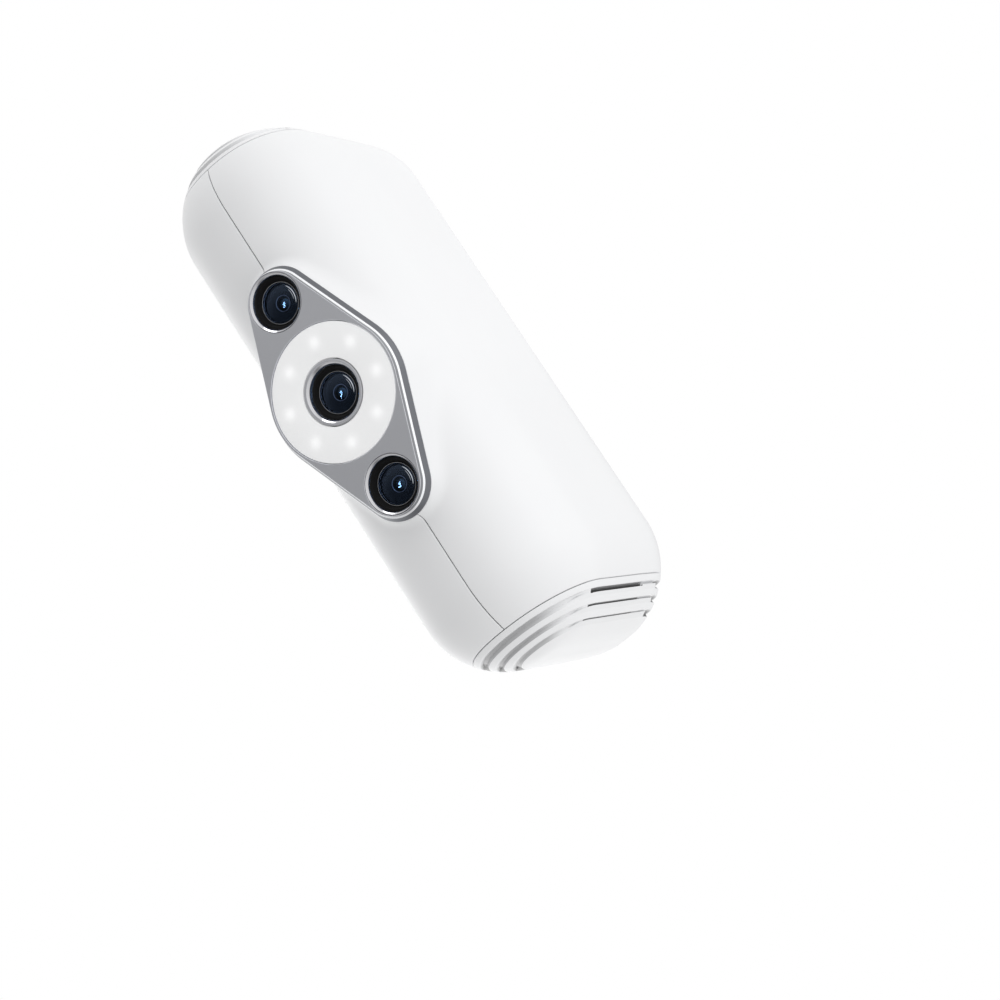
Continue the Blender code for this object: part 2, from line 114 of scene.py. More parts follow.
# Half the seam's width, half the gap at a cap's joint, and the rounded edge of both
SEAM = 0.09
JOINT_GAP = 0.07
EDGE = 0.11
EDGE_STEPS = (0.0, 0.012, 0.035, 0.07)

# Strips behind the seam: (front or back, first height, last height) from the middle
SEAL_END = CAP_JOINT - 0.3
SEALS = ((-1, -SEAL_END, -24.0), (-1, 24.0, SEAL_END), (1, -SEAL_END, 2.0), (1, 13.0, 16.9),
         (1, 20.1, SEAL_END))

# Edges that turn by more than this many degrees are shaded sharp
SHARP_ANGLE = 32

# The lens plate, as (inset, depth) rows from its foot to its face
PLATE_CIRCLE, TIP_CIRCLE, TIP_SPACING = 12.35, 5.75, 18.0
PLATE_ROWS = ((-0.6, 1.88), (-0.07, 0.93), (0.22, 0.74), (0.3, 0.05), (0.35, 0.0))

# The hump: its face's depth and its radii there, how fast they grow behind it, the width
# of its blend into the body, and how high and how far back the blend is worked out
HUMP_FACE, HUMP_OUTSET = 2.0, 0.62
HUMP_START = (PLATE_CIRCLE + HUMP_OUTSET, TIP_CIRCLE + HUMP_OUTSET)
HUMP_SPREAD = (0.12, 0.22)
HUMP_BLEND = 1.5
HUMP_HEIGHT, HUMP_REACH = 33, 20

# The opening behind the plate, and how far round it the skin is cleared ahead of the hump
LEDGE, APERTURE_DEPTH = 0.75, 13.0
CLEAR_OUTSET = 1.6

# Each cap groove: where its ledge cuts in, the top of its slot, and where its flare ends
GROOVES = ((47.95, 48.35, 49.0), (49.7, 49.95, 50.45), (51.05, 51.2, 51.65))
GROOVE_DEPTH = 0.75

# Each groove's vent: nearest x, front y, back y, and how far its top is past the slot's top
VENTS = ((1.5, -7.4, 13.2, 0.18), (1.5, -7.2, 14.2, -0.02), (5.0, -6.8, 15.2, -0.01))
# How far out the vents are cut, how far above the groove's ledge they start, and the painted shade
# on their cut faces
VENT_REACH, VENT_LIFT, VENT_SHADE = 20.0, 0.02, 0.65

# Radii of the ways cut through the shells and the lower cap
BUTTON_WAY, PIPE_WAY = 5.3, 1.4
FLANGE_WAY, INSERT_WAY = 5.5, 4.5

# Ring light and lenses
RING_OUT, RING_IN, RING_BACK = 11.53, 5.6, 1.6
LED_CIRCLE, LED_COUNT, LED_PHASE = 8.8, 8, math.radians(-13)
LENS_BORE, BARREL_RADIUS, GLASS_RADIUS, PUPIL_RADIUS = 4.37, 4.2, 3.42, 1.3


# ---------------------------------------------------------------- materials

def new_material(name):
    made = bpy.data.materials.new(name)
    made.use_nodes = True
    return made, made.node_tree, made.node_tree.nodes["Principled BSDF"]


def node(tree, kind, **settings):
    made = tree.nodes.new(kind)
    for key, value in settings.items():
        setattr(made, key, value)
    return made


def feed(tree, socket, value):
    """Links another node's output into a socket, or sets the socket's own value."""
    if isinstance(value, bpy.types.NodeSocket):
        tree.links.new(value, socket)
    else:
        socket.default_value = value


def math_node(tree, operation, first, second=None):
    made = node(tree, "ShaderNodeMath", operation=operation)
    feed(tree, made.inputs[0], first)
    if second is not None:
        feed(tree, made.inputs[1], second)
    return made.outputs[0]


def mix_node(tree, kind, factor, first, second):
    """A Mix node, whose sockets of one kind are told from the others by their number."""
    made = node(tree, "ShaderNodeMix", data_type=kind)
    low, high, result = {"RGBA": (6, 7, 2), "FLOAT": (2, 3, 0)}[kind]
    feed(tree, made.inputs["Factor"], factor)
    feed(tree, made.inputs[low], first)
    feed(tree, made.inputs[high], second)
    return made.outputs[result]


def noise(tree, scale, detail=3.0, roughness=0.5, stretch=None):
    """Noise over the object's own coordinates; scale is in features a metre."""
    place = node(tree, "ShaderNodeTexCoord").outputs["Object"]
    if stretch:
        mapping = node(tree, "ShaderNodeMapping")
        mapping.inputs["Scale"].default_value = stretch
        tree.links.new(place, mapping.inputs["Vector"])
        place = mapping.outputs["Vector"]
    made = node(tree, "ShaderNodeTexNoise")
    made.inputs["Scale"].default_value = scale
    made.inputs["Detail"].default_value = detail
    made.inputs["Roughness"].default_value = roughness
    tree.links.new(place, made.inputs["Vector"])
    return made.outputs["Fac"]


def spread(tree, value, low, high):
    """Maps noise from its usual 0.3 to 0.7 onto low to high."""
    made = node(tree, "ShaderNodeMapRange", clamp=True)
    made.inputs["From Min"].default_value = 0.3
    made.inputs["From Max"].default_value = 0.7
    made.inputs["To Min"].default_value = low
    made.inputs["To Max"].default_value = high
    tree.links.new(value, made.inputs["Value"])
    return made.outputs["Result"]


def two_tone(tree, value, dark, light):
    return mix_node(tree, "RGBA", value, (*dark, 1.0), (*light, 1.0))


def bump(tree, shader, height, strength, distance):
    made = node(tree, "ShaderNodeBump")
    made.inputs["Strength"].default_value = strength
    made.inputs["Distance"].default_value = distance
    tree.links.new(height, made.inputs["Height"])
    tree.links.new(made.outputs["Normal"], shader.inputs["Normal"])


def surface(name, dark, light, roughness, metallic=0.0, scale=900.0, bump_by=None, stretch=None,
            **sockets):
    """A material with slight patches of colour, a varied roughness and a fine grain."""
    made, tree, shader = new_material(name)
    colour = spread(tree, noise(tree, 40.0, 4), 0.0, 1.0)
    tree.links.new(two_tone(tree, colour, dark, light), shader.inputs["Base Color"])
    grain = noise(tree, scale, 3, 0.55, stretch)
    tree.links.new(spread(tree, grain, *roughness), shader.inputs["Roughness"])
    shader.inputs["Metallic"].default_value = metallic
    if bump_by:
        bump(tree, shader, grain, *bump_by)
    for socket, value in sockets.items():
        shader.inputs[socket.replace("_", " ")].default_value = value
    return made


def shell_plastic():
    return surface("shell plastic", (0.845, 0.85, 0.86), (0.86, 0.865, 0.875), (0.3, 0.37),
                   scale=2600.0, bump_by=(0.08, 0.00002), Coat_Weight=0.12, Coat_Roughness=0.22)


def cap_plastic():
    """The shell's plastic, its colour darkened by painted shade in the grooves, on the vents' cut
    faces and on the cap's inner skin.
    """
    made = shell_plastic()
    made.name = "cap plastic with painted shade"
    tree = made.node_tree
    shader = tree.nodes["Principled BSDF"]
    plain = shader.inputs["Base Color"].links[0].from_socket
    painted_shade = node(tree, "ShaderNodeAttribute", attribute_name="painted_shade")
    inside = node(tree, "ShaderNodeAttribute", attribute_name="inside")
    shade = math_node(tree, "MAXIMUM", painted_shade.outputs["Fac"], inside.outputs["Fac"])
    # Painted shade: the shade attributes mix the colour towards near black
    mixed = mix_node(tree, "RGBA", shade, plain, (0.06, 0.06, 0.063, 1.0))
    tree.links.new(mixed, shader.inputs["Base Color"])
    return made


def diffuser_plastic():
    """Milky plastic, lit through from soft spots on one circle, one in front of each LED."""
    spot_radius, spot_glow, even_glow = 0.00072, 0.17, 0.18
    made, tree, shader = new_material("diffuser plastic")
    shader.inputs["Roughness"].default_value = 0.4
    shader.inputs["Subsurface Weight"].default_value = 0.3
    shader.inputs["Subsurface Radius"].default_value = (0.002, 0.002, 0.002)
    grain = spread(tree, noise(tree, 3000.0, 2), 0.0, 1.0)
    tree.links.new(two_tone(tree, grain, (0.8, 0.805, 0.81), (0.82, 0.825, 0.83)),
                   shader.inputs["Base Color"])
    place = node(tree, "ShaderNodeSeparateXYZ")
    tree.links.new(node(tree, "ShaderNodeTexCoord").outputs["Object"], place.inputs[0])
    across = place.outputs["X"]
    up = math_node(tree, "SUBTRACT", place.outputs["Z"], CENTRE_Z * MM)
    angle = math_node(tree, "ARCTAN2", up, across)
    step = math.tau / LED_COUNT
    shifted = math_node(tree, "ADD", angle, step / 2 - LED_PHASE + math.tau)
    folded = math_node(tree, "SUBTRACT", math_node(tree, "MODULO", shifted, step), step / 2)
    squared = math_node(tree, "ADD", math_node(tree, "MULTIPLY", up, up),
                        math_node(tree, "MULTIPLY", across, across))
    radius = math_node(tree, "SQRT", squared)
    led = LED_CIRCLE * MM
    cross = math_node(tree, "MULTIPLY", math_node(tree, "COSINE", folded), radius)
    away = math_node(tree, "SUBTRACT", math_node(tree, "ADD", squared, led * led),
                     math_node(tree, "MULTIPLY", cross, 2 * led))
    spot = math_node(tree, "EXPONENT",
                     math_node(tree, "MULTIPLY", away, -1 / (2 * spot_radius ** 2)))
    glow = math_node(tree, "ADD", math_node(tree, "MULTIPLY", spot, spot_glow), even_glow)
    shader.inputs["Emission Color"].default_value = (1.0, 1.0, 1.0, 1.0)
    tree.links.new(glow, shader.inputs["Emission Strength"])
    return made


def lens_glass(name, clear, gloss, index, amount, painted_arcs=()):
    """Glass with a tinted coating: its coloured reflection painted as a sheen that grows across it,
    with faint arc-shaped painted highlights that glow.

    Each arc is (radius, half width, centre angle, half span, brightness), its sizes as shares
    of the glass's radius and its angles in degrees."""
    fade_x, fade_z = 0.3, -0.95
    made, tree, shader = new_material(name)
    tree.nodes.remove(shader)
    through = node(tree, "ShaderNodeBsdfTransparent")
    through.inputs["Color"].default_value = (*clear, 1.0)
    split = node(tree, "ShaderNodeSeparateXYZ")
    tree.links.new(node(tree, "ShaderNodeTexCoord").outputs["Generated"], split.inputs[0])
    x = math_node(tree, "SUBTRACT", split.outputs["X"], 0.5)
    z = math_node(tree, "SUBTRACT", split.outputs["Z"], 0.5)
    # Painted sheen: the reflection's strength changes across the glass by position
    slope = math_node(tree, "ADD", math_node(tree, "MULTIPLY", x, fade_x),
                      math_node(tree, "MULTIPLY", z, fade_z))
    painted_sheen_fade = math_node(tree, "MAXIMUM", math_node(tree, "ADD", slope, 0.5), 0.0)
    mirror = node(tree, "ShaderNodeBsdfGlossy")
    mirror.inputs["Color"].default_value = (*gloss, 1.0)
    tree.links.new(spread(tree, noise(tree, 250.0, 2), 0.015, 0.03), mirror.inputs["Roughness"])
    share = node(tree, "ShaderNodeFresnel")
    share.inputs["IOR"].default_value = index
    mixed = node(tree, "ShaderNodeMixShader")
    behind = node(tree, "ShaderNodeNewGeometry").outputs["Backfacing"]
    front = math_node(tree, "SUBTRACT", 1.0, behind)
    painted_sheen_weight = math_node(tree, "MULTIPLY", math_node(tree, "MULTIPLY", front, painted_sheen_fade), amount * 2)
    tree.links.new(math_node(tree, "MULTIPLY", share.outputs[0], painted_sheen_weight), mixed.inputs[0])
    tree.links.new(through.outputs[0], mixed.inputs[1])
    tree.links.new(mirror.outputs[0], mixed.inputs[2])
    out = mixed
    # Painted highlights: arc-shaped glow on the front of the glass
    if painted_arcs:
        squares = math_node(tree, "ADD", math_node(tree, "MULTIPLY", x, x),
                            math_node(tree, "MULTIPLY", z, z))
        reach = math_node(tree, "SQRT", squares)
        glow = 0.0
        for radius, width, centre, span, level in painted_arcs:
            off = math_node(tree, "ABSOLUTE", math_node(tree, "SUBTRACT", reach, radius / 2))
            line = math_node(tree, "SUBTRACT", 1.0, math_node(tree, "DIVIDE", off, width / 2))
            turn = math_node(tree, "ADD",
                             math_node(tree, "MULTIPLY", x, math.cos(math.radians(centre))),
                             math_node(tree, "MULTIPLY", z, math.sin(math.radians(centre))))
            edge = math.cos(math.radians(span))
            near = math_node(tree, "SUBTRACT", math_node(tree, "DIVIDE", turn, reach), edge)
            near = math_node(tree, "DIVIDE", near, 1 - edge)
            arc = math_node(tree, "MULTIPLY", math_node(tree, "MAXIMUM", line, 0.0),
                            math_node(tree, "MAXIMUM", near, 0.0))
            arc = math_node(tree, "MULTIPLY", math_node(tree, "SQRT", arc), level)
            glow = math_node(tree, "ADD", arc, glow)
        painted_arc_glow = node(tree, "ShaderNodeEmission")
        painted_arc_glow.inputs["Color"].default_value = (0.85, 0.92, 1.0, 1.0)
        tree.links.new(math_node(tree, "MULTIPLY", glow, front), painted_arc_glow.inputs["Strength"])
        out = node(tree, "ShaderNodeAddShader")
        tree.links.new(mixed.outputs[0], out.inputs[0])
        tree.links.new(painted_arc_glow.outputs[0], out.inputs[1])
    tree.links.new(out.outputs[0], tree.nodes["Material Output"].inputs["Surface"])
    return made


def circuit_board():
    """Green solder mask with faint copper lines under it."""
    made, tree, shader = new_material("circuit board")
    lines = node(tree, "ShaderNodeTexBrick")
    lines.inputs["Scale"].default_value = 450.0
    lines.inputs["Color1"].default_value = (0.01, 0.11, 0.05, 1.0)
    lines.inputs["Color2"].default_value = (0.015, 0.13, 0.06, 1.0)
    lines.inputs["Mortar"].default_value = (0.05, 0.2, 0.09, 1.0)
    tree.links.new(node(tree, "ShaderNodeTexCoord").outputs["Object"], lines.inputs["Vector"])
    tree.links.new(lines.outputs["Color"], shader.inputs["Base Color"])
    tree.links.new(spread(tree, noise(tree, 1500.0), 0.35, 0.5), shader.inputs["Roughness"])
    return made


MATERIALS = {
    "shell": shell_plastic(),
    "cap": cap_plastic(),
    "black_plastic": surface("black plastic", (0.006, 0.006, 0.007), (0.011, 0.011, 0.012),
                             (0.38, 0.5), scale=2500.0, bump_by=(0.15, 0.00003)),
    "barrel": surface("lens black", (0.002, 0.002, 0.0022), (0.004, 0.004, 0.0045), (0.5, 0.6),
                      scale=2500.0, Specular_IOR_Level=0.2),
    "plate": surface("anodised plate", (0.7, 0.71, 0.75), (0.73, 0.74, 0.78), (0.34, 0.42),
                     metallic=1.0, scale=5200.0, bump_by=(0.12, 0.00001)),
    # Darker copies of the plate's finish: painted shade on the flared wall, a painted shadow along
    # the face's lip
    "plate_wall": surface("anodised plate, painted shade", (0.16, 0.165, 0.18), (0.18, 0.185, 0.2),
                          (0.34, 0.42), metallic=1.0, scale=5200.0, bump_by=(0.12, 0.00001)),
    "plate_lip_shadow": surface("anodised plate lip, painted shadow", (0.26, 0.265, 0.28), (0.29, 0.295, 0.31), (0.3, 0.4),
                         metallic=1.0, scale=5200.0, bump_by=(0.12, 0.00001)),
    # A real polished edge, its lighter colour a painted highlight
    "chamfer": surface("polished chamfer, painted highlight", (0.86, 0.87, 0.89), (0.9, 0.91, 0.93), (0.1, 0.16),
                       metallic=1.0, scale=4000.0),
    "chrome": surface("turned metal", (0.5, 0.5, 0.52), (0.56, 0.56, 0.58), (0.1, 0.16),
                      metallic=1.0, scale=2500.0),
    "diffuser": diffuser_plastic(),
    "rubber": surface("gasket rubber", (0.02, 0.02, 0.02), (0.035, 0.035, 0.035), (0.7, 0.85),
                      scale=2000.0, bump_by=(0.3, 0.00005)),
    # The front glass's two arcs are painted highlights that glow
    "glass": lens_glass("front lens glass", (0.8, 0.88, 1.0), (0.5, 0.66, 0.95), 1.5, 0.65,
                        ((0.87, 0.022, 180, 36, 0.8), (0.78, 0.016, 178, 22, 0.45))),
    "inner_glass": lens_glass("inner lens glass", (0.4, 0.75, 0.9), (0.7, 0.92, 1.0), 2.0, 0.6),
    "bench": surface("machined aluminium", (0.55, 0.56, 0.58), (0.62, 0.63, 0.65), (0.3, 0.45),
                     metallic=1.0, scale=900.0, bump_by=(0.2, 0.00004), stretch=(1, 1, 0.06)),
    "board": circuit_board(),
    "led": surface("led package", (0.85, 0.8, 0.5), (0.95, 0.92, 0.7), (0.3, 0.4),
                   scale=3000.0),
    "chip": surface("chip package", (0.02, 0.02, 0.022), (0.035, 0.035, 0.038), (0.45, 0.6),
                    scale=3000.0, bump_by=(0.2, 0.00002)),
    "steel": surface("plated steel", (0.5, 0.5, 0.51), (0.57, 0.57, 0.58), (0.2, 0.32),
                     metallic=1.0, scale=2500.0, bump_by=(0.08, 0.00002)),
    "brass": surface("turned brass", (0.62, 0.46, 0.2), (0.72, 0.56, 0.28), (0.22, 0.34),
                     metallic=1.0, scale=2500.0, bump_by=(0.1, 0.00002)),
    "light_pipe": surface("light pipe", (0.72, 0.75, 0.77), (0.78, 0.8, 0.82), (0.12, 0.2),
                          scale=1500.0),
    "gold": surface("gold contacts", (0.8, 0.6, 0.25), (0.88, 0.68, 0.32), (0.2, 0.3),
                    metallic=1.0, scale=3000.0),
}


# ---------------------------------------------------------------- mesh tools

def piece(name, points, faces, material, slot, body="body", replaces=None, sharp=SHARP_ANGLE):
    """A smooth-shaded object from points in millimetres, declared to the frame.

    Without a material it is a tool for a cut, and is left undeclared."""
    mesh = bpy.data.meshes.new(name)
    mesh.from_pydata((np.asarray(points, float) * MM).tolist(), [], faces)
    work = bmesh.new()
    work.from_mesh(mesh)
    bmesh.ops.recalc_face_normals(work, faces=work.faces)
    work.to_mesh(mesh)
    work.free()
    obj = bpy.data.objects.new(name, mesh)
    bpy.context.collection.objects.link(obj)
    if material:
        mesh.materials.append(MATERIALS[material])
        declare(obj, body, replaces)
        smooth(obj, sharp)
    return obj


def declare(obj, body="body", replaces=None):
    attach(obj, body)
    if replaces:
        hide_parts(replaces)


def smooth(obj, sharp=SHARP_ANGLE):
    obj.data.shade_smooth()
    obj.data.set_sharp_from_angle(angle=math.radians(sharp))


def loft(name, rings, *args, closed=False, **kwargs):
    """Skins rings of equal point count: capped at both ends, or a closed hoop of rings."""
    rings = np.asarray(rings, float)
    count = rings.shape[1]
    faces = []
    for low in range(len(rings) if closed else len(rings) - 1):
        high = (low + 1) % len(rings)
        for k in range(count):
            after = (k + 1) % count
            faces.append((low * count + k, low * count + after,
                          high * count + after, high * count + k))
    if not closed:
        faces.append(tuple(range(count)))
        faces.append(tuple((len(rings) - 1) * count + k for k in range(count)))
    return piece(name, rings.reshape(-1, 3), faces, *args, **kwargs)


def circle(radius, centre=(0.0, 0.0), points=96):
    angles = np.arange(points) * math.tau / points
    return np.stack([centre[0] + radius * np.cos(angles),
                     centre[1] + radius * np.sin(angles)], axis=1)


def layer(outline, level, axis):
    """A flat outline set square to an axis at this level, as rows of (x, y, z)."""
    order = {"Y": (0, 2, 1), "Z": (0, 1, 2)}[axis]
    return np.column_stack([outline, np.full(len(outline), level)])[:, order]


def spun(name, profile, centre, axis, *args, points=96, tube=False, **kwargs):
    """A profile of (radius, level) points turned about an axis through this centre."""
    rings = [layer(circle(radius, centre, points), level, axis) for radius, level in profile]
    return loft(name, rings, *args, closed=tube, **kwargs)


def turned(name, profile, height, *args, tube=True, **kwargs):
    """A profile of (radius, depth behind the plate's face) turned about a lens's axis."""
    placed = [(radius, PLATE_Y + depth) for radius, depth in profile]
    return spun(name, placed, (0, height), "Y", *args, tube=tube, **kwargs)


def prism(name, outline, low, high, axis, *args, **kwargs):
    """A flat outline pushed along an axis."""
    return loft(name, [layer(outline, level, axis) for level in (low, high)], *args, **kwargs)


def box(name, low, high, *args, **kwargs):
    outline = [(low[0], low[2]), (high[0], low[2]), (high[0], high[2]), (low[0], high[2])]
    return prism(name, outline, low[1], high[1], "Y", *args, **kwargs)


def round_box(half_a, half_b, radius, centre, steps=10):
    """A rectangle's outline with rounded corners."""
    outline = []
    for quarter, (side_a, side_b) in enumerate(((1, 1), (-1, 1), (-1, -1), (1, -1))):
        for step in range(steps + 1):
            angle = math.radians(90 * (quarter + step / steps))
            outline.append((centre[0] + side_a * (half_a - radius) + radius * math.cos(angle),
                            centre[1] + side_b * (half_b - radius) + radius * math.sin(angle)))
    return outline


def cut(target, tools, sharp=SHARP_ANGLE):
    """Cuts with each tool, then removes the tools and leaves a plain smooth-shaded mesh."""
    for tool in tools:
        modifier = target.modifiers.new(tool.name, "BOOLEAN")
        modifier.operation = "DIFFERENCE"
        modifier.solver = "MANIFOLD"
        modifier.object = tool
    graph = bpy.context.evaluated_depsgraph_get()
    mesh = bpy.data.meshes.new_from_object(target.evaluated_get(graph))
    target.modifiers.clear()
    target.data = mesh
    for tool in tools:
        bpy.data.objects.remove(tool, do_unlink=True)
    smooth(target, sharp)


def fillet(distance, radius=EDGE):
    """How far a surface falls back at this distance from a rounded edge."""
    near = np.clip(radius - np.asarray(distance, float), 0, radius)
    return radius - np.sqrt(np.maximum(radius ** 2 - near ** 2, 0))


# ---------------------------------------------------------------- body skin

def end_curve(height, skin):
    """How far the end's quarter circle has closed at this height, from 0 to 1."""
    part = (abs(height) - STRAIGHT_END) / (skin["length"] - STRAIGHT_END)
    part = min(max(part, 0.0), 1.0)
    return 1.0 - math.sqrt(1.0 - part * part)


def section(height, skin, angles, shrink=0.0):
    """The body's outline at this height: curved in front, square behind. Rows of (x, y)."""
    inset = end_curve(height, skin)
    half = skin["side"] - skin["side_in"] * inset - shrink
    front = skin["front"] - skin["front_in"] * inset - shrink
    back = skin["back"] - skin["back_in"] * inset - shrink
    across, along = np.cos(angles), np.sin(angles)
    behind = along >= 0
    power = np.where(behind, BACK_POWER, FRONT_POWER)
    reach = np.where(behind, back, front)
    x = np.sign(across) * np.abs(across) ** (2 / power) * half
    y = AXIS_Y + np.sign(along) * np.abs(along) ** (2 / power) * reach
    return np.stack([x, y], axis=1)


def even_angles(first, last, spacing):
    """Angles that step evenly along the mid-section's outline, finer where it turns."""
    samples, degrees_a_step = 20001, 2.5
    angles = np.linspace(first, last, samples)
    points = section(0.0, OUTER, angles)
    steps = np.diff(points, axis=0)
    turn = np.abs(np.diff(np.unwrap(np.arctan2(steps[:, 1], steps[:, 0]))))
    length = np.hypot(steps[:, 0], steps[:, 1])
    load = length / spacing
    load[1:] += turn / math.radians(degrees_a_step)
    total = np.concatenate([[0], np.cumsum(load)])
    count = max(int(total[-1]), 4)
    return np.interp(np.linspace(0, total[-1], count + 1), total, angles)


def end_heights(low, high, degrees=2.0):
    """Heights that follow the end's quarter circle in even steps of angle."""
    reach = HALF_LENGTH - STRAIGHT_END
    first = math.asin(min((low - STRAIGHT_END) / reach, 1.0))
    last = math.asin(min((high - STRAIGHT_END) / reach, 1.0))
    count = max(int(math.degrees(last - first) / degrees * FINE), 1)
    return [STRAIGHT_END + reach * math.sin(first + (last - first) * k / count)
            for k in range(count + 1)]


# ---------------------------------------------------------------- plate outline and hump

def plate_outline(large, small, depth):
    """The hull of the plate's three circles, at this depth behind the plate's face."""
    tip_steps, side_steps = 40, 24
    lean = math.asin((large - small) / TIP_SPACING)
    outline = []
    for middle, radius, centre, spread_by, steps in (
            (0.0, large, 0.0, lean, side_steps),
            (math.pi / 2, small, TIP_SPACING, math.pi / 2 - lean, tip_steps),
            (math.pi, large, 0.0, lean, side_steps),
            (3 * math.pi / 2, small, -TIP_SPACING, math.pi / 2 - lean, tip_steps)):
        for step in range(steps + 1):
            angle = middle + spread_by * (2 * step / steps - 1)
            outline.append((radius * math.cos(angle), PLATE_Y + depth,
                            CENTRE_Z + centre + radius * math.sin(angle)))
    return outline


def inset_outline(inset, depth):
    return plate_outline(PLATE_CIRCLE - inset, TIP_CIRCLE - inset, depth)


def hull_distance(x, v, large, small):
    """Signed distance to the plate's hull, for arrays of points and of its two radii."""
    x, v = np.abs(x), np.abs(v)
    lean = (large - small) / TIP_SPACING
    level = np.sqrt(1 - lean * lean)
    along = -lean * x + level * v
    to_middle = np.hypot(x, v) - large
    to_tip = np.hypot(x, v - TIP_SPACING) - small
    to_side = level * x + lean * v - large
    return np.where(along < 0, to_middle, np.where(along > level * TIP_SPACING, to_tip, to_side))


def blended_depth(x, v, body_depth, body_lean):
    """Depth of the skin where the hump flows into the body, found by halving.

    body_depth is the bare body's depth there and body_lean the cosine of its slope."""
    nearest, halvings = -4.0, 34
    near = np.full(x.shape, nearest)
    far = body_depth.astype(float)
    for _ in range(halvings):
        depth = (near + far) / 2
        growth = depth - HUMP_FACE
        hump = hull_distance(x, v, HUMP_START[0] + HUMP_SPREAD[0] * growth,
                             HUMP_START[1] + HUMP_SPREAD[1] * growth)
        body = (body_depth - depth) * body_lean
        overlap = np.maximum(HUMP_BLEND - np.abs(hump - body), 0) / HUMP_BLEND
        both = np.minimum(hump, body) - overlap ** 2 * HUMP_BLEND / 4
        outside = both > 0
        near = np.where(outside, depth, near)
        far = np.where(outside, far, depth)
    return (near + far) / 2


def shell_heights():
    """(height, shrink) rows of a half shell, finest where the plate's tips are."""
    bands = ((27.0, STRAIGHT_END, 1.2), (19.0, 27.0, 0.16), (0.0, 19.0, 0.24))
    top = CAP_JOINT - JOINT_GAP
    rows = [(height, 0.0) for height in end_heights(STRAIGHT_END, top - EDGE)]
    rows += [(top - step, float(fillet(step))) for step in reversed(EDGE_STEPS)]
    for stop, start, spacing in bands:
        count = int((start - stop) / spacing * FINE)
        steps = [(start + (stop - start) * k / count, 0.0) for k in range(1, count + 1)]
        rows = steps[::-1] + rows
    return [(-height, shrink) for height, shrink in reversed(rows[1:])] + rows


def make_shell(name, side):
    """One half shell: outer skin with its hump, and a plain inner skin, closed at the seam."""
    sharp, ahead_of_plate, through = 40, -8.0, (BACK_Y - 4, BACK_Y + 2)
    seam = np.array([0.0, 0.015, 0.035, 0.06, 0.09])
    front = np.arccos((seam / OUTER["side"]) ** (FRONT_POWER / 2))
    back = np.arccos((seam / OUTER["side"]) ** (BACK_POWER / 2))
    main = even_angles(-front[-1], 0.0, 0.17 / FINE)
    rear = even_angles(0.0, back[-1], 2.0)
    outer = np.concatenate([-front[:-1], main, rear[1:], back[:-1][::-1]])
    inner = np.linspace(math.pi / 2, -math.pi / 2, 41)
    rings = []
    for height, shrink in shell_heights():
        points = section(height, OUTER, outer, shrink)
        half = points[:, 0].max()
        x = SEAM + points[:, 0] * (1 - SEAM / half)
        y = points[:, 1]
        if abs(height) < HUMP_HEIGHT:
            ahead = (outer < -0.04) & (y < PLATE_Y + HUMP_REACH)
            slope = np.gradient(y[ahead], x[ahead])
            lean = 1 / np.sqrt(1 + slope ** 2)
            depth = y[ahead] - PLATE_Y
            level = np.full(depth.shape, height)
            y[ahead] = PLATE_Y + blended_depth(x[ahead], level, depth, lean)
        drop = fillet(x - SEAM)
        y = np.where(outer < 0, y + drop, y - drop)
        inside = section(height, INNER, inner)
        inside_x = SEAM + inside[:, 0] * (1 - SEAM / inside[:, 0].max())
        ring = np.concatenate([np.stack([x, y], axis=1),
                               np.stack([inside_x, inside[:, 1]], axis=1)])
        rings.append(layer(ring * (side, 1), CENTRE_Z + height, "Z"))
    shell = loft(name, rings, "shell", "shell", replaces=name, sharp=sharp)
    tools = []
    for way, inset, depth in (("above_hump", -CLEAR_OUTSET, HUMP_FACE),
                              ("aperture", LEDGE, APERTURE_DEPTH)):
        tools.append(loft(way, [inset_outline(inset, level) for level in (ahead_of_plate, depth)],
                          None, None))
    for way, radius, height, points in (("button_way", BUTTON_WAY, BUTTON_Z, 96),
                                        ("pipe_way", PIPE_WAY, PIPE_Z, 48)):
        tools.append(prism(way, circle(radius, (0, height), points), *through, "Y", None, None))
    cut(shell, tools, sharp)


def make_seam_seals():
    """Thin dark strips that close the seam from within, clear of plate, button and pipe."""
    wide, shallow, deep = SEAM - 0.01, 0.3, 1.6
    for side, first, stop in SEALS:
        rings = []
        for height in np.linspace(first, stop, max(int(stop - first), 4)):
            y = section(height, OUTER, np.array([side * math.pi / 2]))[0, 1]
            near, far = y - side * shallow, y - side * deep
            outline = [(-wide, near), (wide, near), (wide, far), (-wide, far)]
            rings.append(layer(outline, CENTRE_Z + height, "Z"))
        loft(f"seam_seal_{side}_{int(first)}", rings, "rubber", "rubber")


# ---------------------------------------------------------------- end caps

